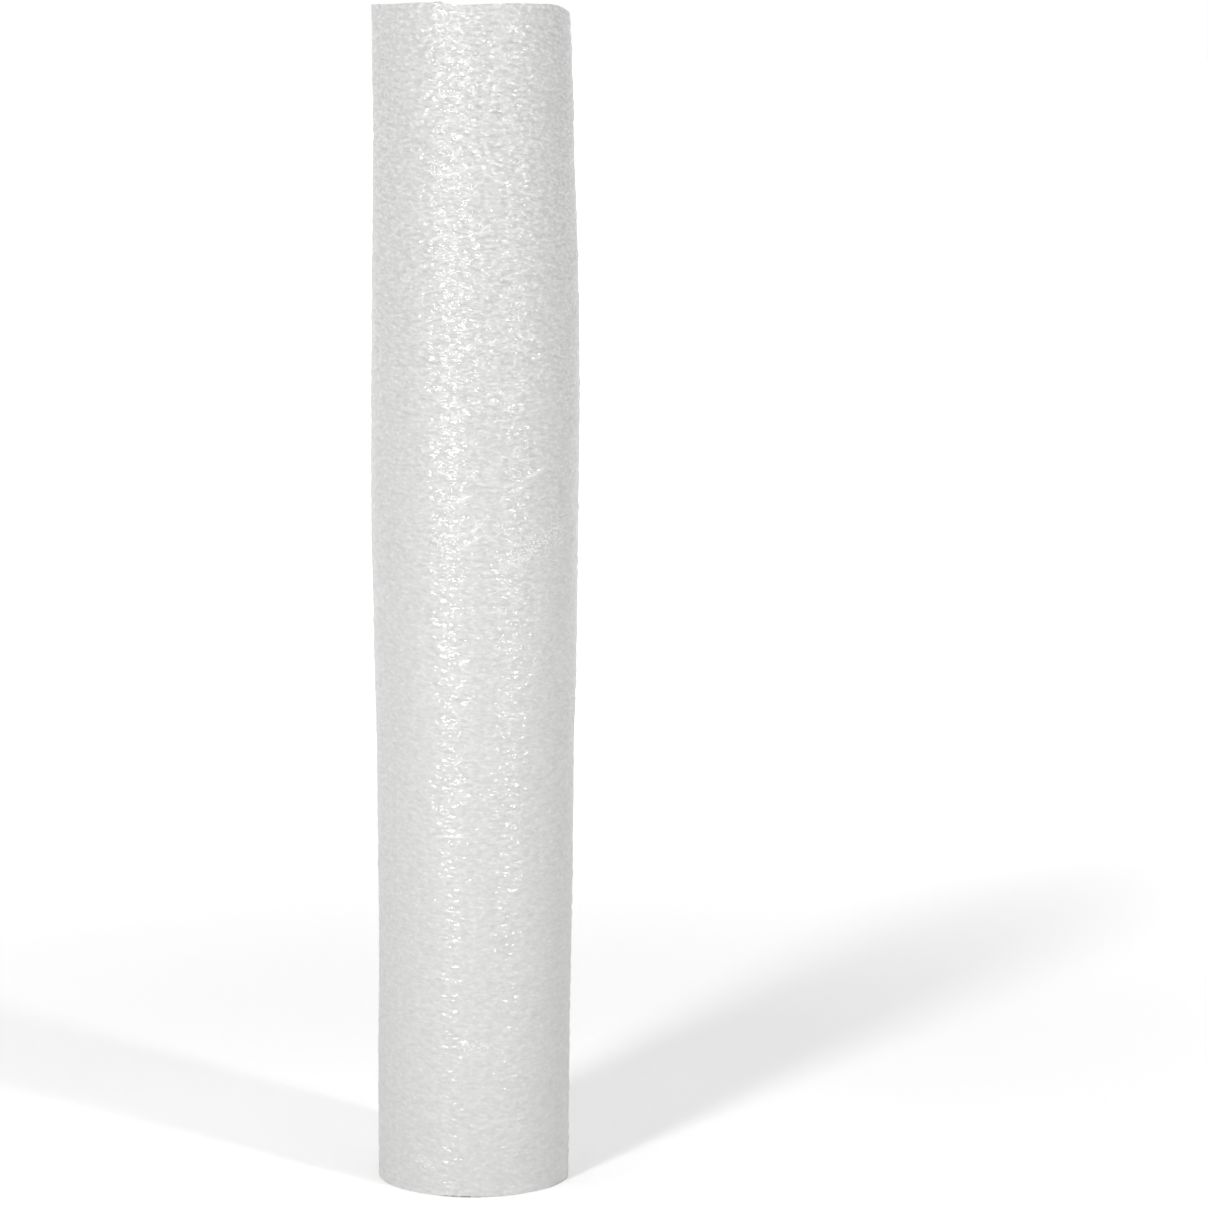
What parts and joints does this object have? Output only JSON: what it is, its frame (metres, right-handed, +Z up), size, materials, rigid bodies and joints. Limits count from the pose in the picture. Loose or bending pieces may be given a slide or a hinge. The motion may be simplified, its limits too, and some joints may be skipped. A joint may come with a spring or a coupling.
{
  "type": "bubble wrap roll",
  "caption": "Coreless roll of clear bubble film for packing, wound with its flat side out, standing on its end, with an open eye and a slight belly.",
  "frame": {"origin": "centre of the roll's eye at its bottom end", "axes": "+Z up along the roll's axis; -Y towards the front, away from the free edge of the sheet"},
  "size_m": [0.1744, 0.1783, 1],
  "materials": {
    "bubble_film": "glossy, milky translucent polyethylene film"
  },
  "bodies": {
    "root": {"bubble_wrap_roll": "bubble_film"}
  },
  "joints": []
}
